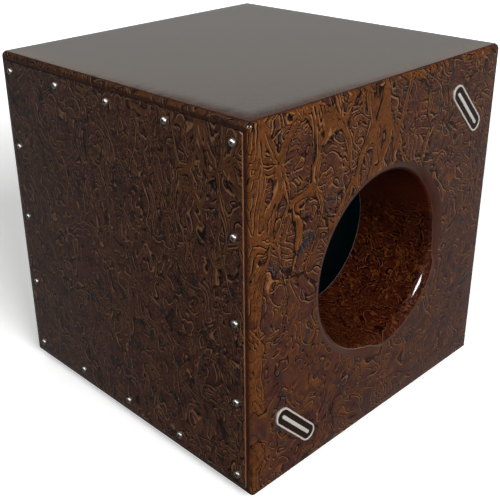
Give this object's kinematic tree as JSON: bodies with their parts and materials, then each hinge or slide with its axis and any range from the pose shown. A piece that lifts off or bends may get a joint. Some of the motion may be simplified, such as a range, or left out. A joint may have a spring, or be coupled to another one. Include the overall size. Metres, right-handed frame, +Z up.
{
  "type": "cajon",
  "caption": "Cube-shaped box drum with a screwed-on playing panel, a flared round sound port in one side and fixed snares inside.",
  "frame": {"origin": "middle of the box on the floor, level with the undersides of the feet", "axes": "+Z up through the seat, -Y out of the playing panel (the tapa), +X out of the sound port"},
  "size_m": [0.4015, 0.4022, 0.405],
  "materials": {
    "wrap_finish": "crumpled-leaf pattern in amber and dark brown under clear gloss lacquer",
    "tapa_finish": "the same crumpled-leaf pattern, darker, under clear satin-gloss lacquer",
    "horn_finish": "deep red-brown with amber flakes, high gloss",
    "bare_plywood": "unfinished plywood and softwood",
    "screw_metal": "nickel-plated, bright",
    "snare_steel": "plain steel wire and plate",
    "foot_rubber": "matt black",
    "badge_metal": "polished silver-coloured metal"
  },
  "bodies": {
    "root": {"seat_board": "wrap_finish", "base_board": "wrap_finish", "left_side_board": "wrap_finish", "port_side_board": "wrap_finish", "rear_board": "wrap_finish", "port_reinforcing_ring": "bare_plywood", "port_horn": "horn_finish", "front_tapa": "tapa_finish", "top_front_batten": "bare_plywood", "bottom_front_batten": "bare_plywood", "left_front_batten": "bare_plywood", "port_side_front_batten": "bare_plywood", "top_rear_batten": "bare_plywood", "bottom_rear_batten": "bare_plywood", "left_rear_batten": "bare_plywood", "port_side_rear_batten": "bare_plywood", "tapa_screw_01": "screw_metal", "tapa_screw_02": "screw_metal", "tapa_screw_03": "screw_metal", "tapa_screw_04": "screw_metal", "tapa_screw_05": "screw_metal", "tapa_screw_06": "screw_metal", "tapa_screw_07": "screw_metal", "tapa_screw_08": "screw_metal", "tapa_screw_09": "screw_metal", "tapa_screw_10": "screw_metal", "tapa_screw_11": "screw_metal", "tapa_screw_12": "screw_metal", "tapa_screw_13": "screw_metal", "tapa_screw_14": "screw_metal", "tapa_screw_15": "screw_metal", "tapa_screw_16": "screw_metal", "snare_bar": "bare_plywood", "snare_set_left": "snare_steel", "snare_set_right": "snare_steel", "snare_plate_screw_1": "screw_metal", "snare_plate_screw_2": "screw_metal", "snare_plate_screw_3": "screw_metal", "snare_plate_screw_4": "screw_metal", "snare_bar_screw_left": "screw_metal", "snare_bar_screw_right": "screw_metal", "foot_front_left": "foot_rubber", "foot_front_right": "foot_rubber", "foot_rear_left": "foot_rubber", "foot_rear_right": "foot_rubber", "foot_screw_front_left": "screw_metal", "foot_screw_front_right": "screw_metal", "foot_screw_rear_left": "screw_metal", "foot_screw_rear_right": "screw_metal", "badge_upper": "badge_metal", "badge_lower": "badge_metal"}
  },
  "joints": []
}
